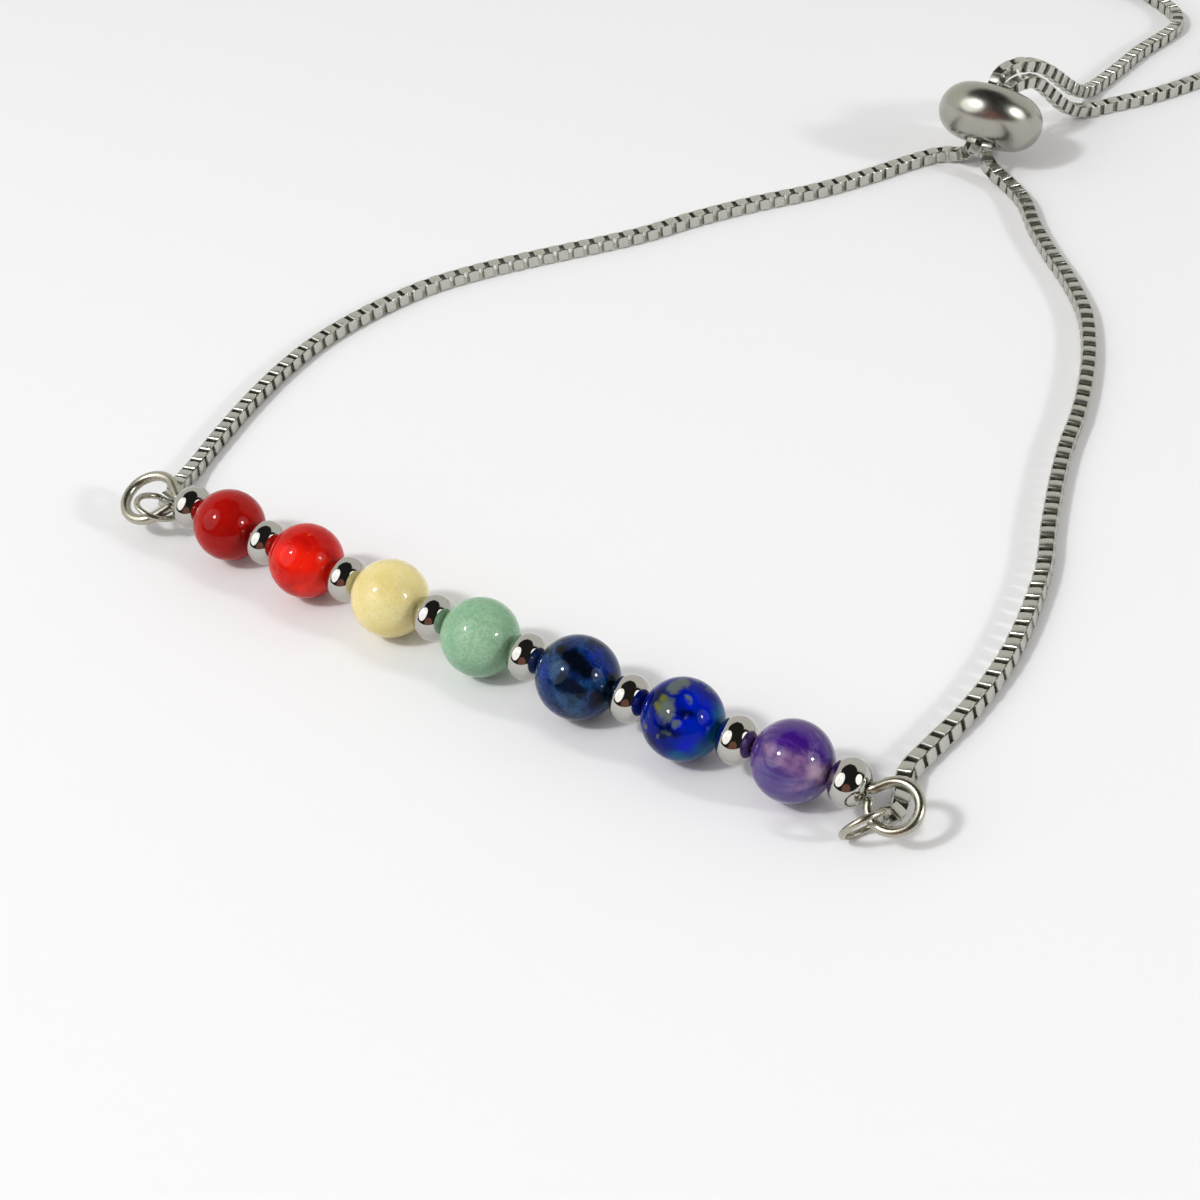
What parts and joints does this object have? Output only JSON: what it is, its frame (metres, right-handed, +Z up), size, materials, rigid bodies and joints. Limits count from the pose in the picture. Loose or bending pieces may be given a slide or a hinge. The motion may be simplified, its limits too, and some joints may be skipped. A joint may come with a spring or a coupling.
{
  "type": "bolo slider bracelet",
  "caption": "Bracelet with a bar of round stones and metal spacers on a pin, and two box chain strands joined by a sliding bead, with a free end each.",
  "frame": {"origin": "centre of the bounding box's footprint, on the surface that the bracelet lies on", "axes": "+X along the row of stones from the dark red bead to the violet bead, +Y from the row to the slider bead and the free ends, +Z up from the surface"},
  "size_m": [0.0778, 0.133, 0.0093],
  "materials": {
    "dark_red_stone": "polished stone",
    "orange_red_stone": "polished stone",
    "yellow_stone": "polished stone",
    "green_stone": "polished stone",
    "dark_blue_stone": "polished stone",
    "bright_blue_stone": "polished stone",
    "violet_stone": "polished stone",
    "pin_wire": "bright drawn wire",
    "spacer_metal": "mirror polished",
    "slider_metal": "mirror polished",
    "chain_metal": "satin"
  },
  "bodies": {
    "root": {"eye_pin": "pin_wire", "dark_red_bead": "dark_red_stone", "orange_red_bead": "orange_red_stone", "yellow_bead": "yellow_stone", "green_bead": "green_stone", "dark_blue_bead": "dark_blue_stone", "bright_blue_bead": "bright_blue_stone", "violet_bead": "violet_stone", "spacer_bead_1": "spacer_metal", "spacer_bead_2": "spacer_metal", "spacer_bead_3": "spacer_metal", "spacer_bead_4": "spacer_metal", "spacer_bead_5": "spacer_metal", "spacer_bead_6": "spacer_metal", "spacer_bead_7": "spacer_metal", "spacer_bead_8": "spacer_metal", "ring_left": "pin_wire", "ring_right": "pin_wire", "chain_left": "chain_metal", "chain_right": "chain_metal", "slider_bead": "slider_metal", "end_bead_left": "slider_metal", "end_bead_right": "slider_metal"}
  },
  "joints": []
}
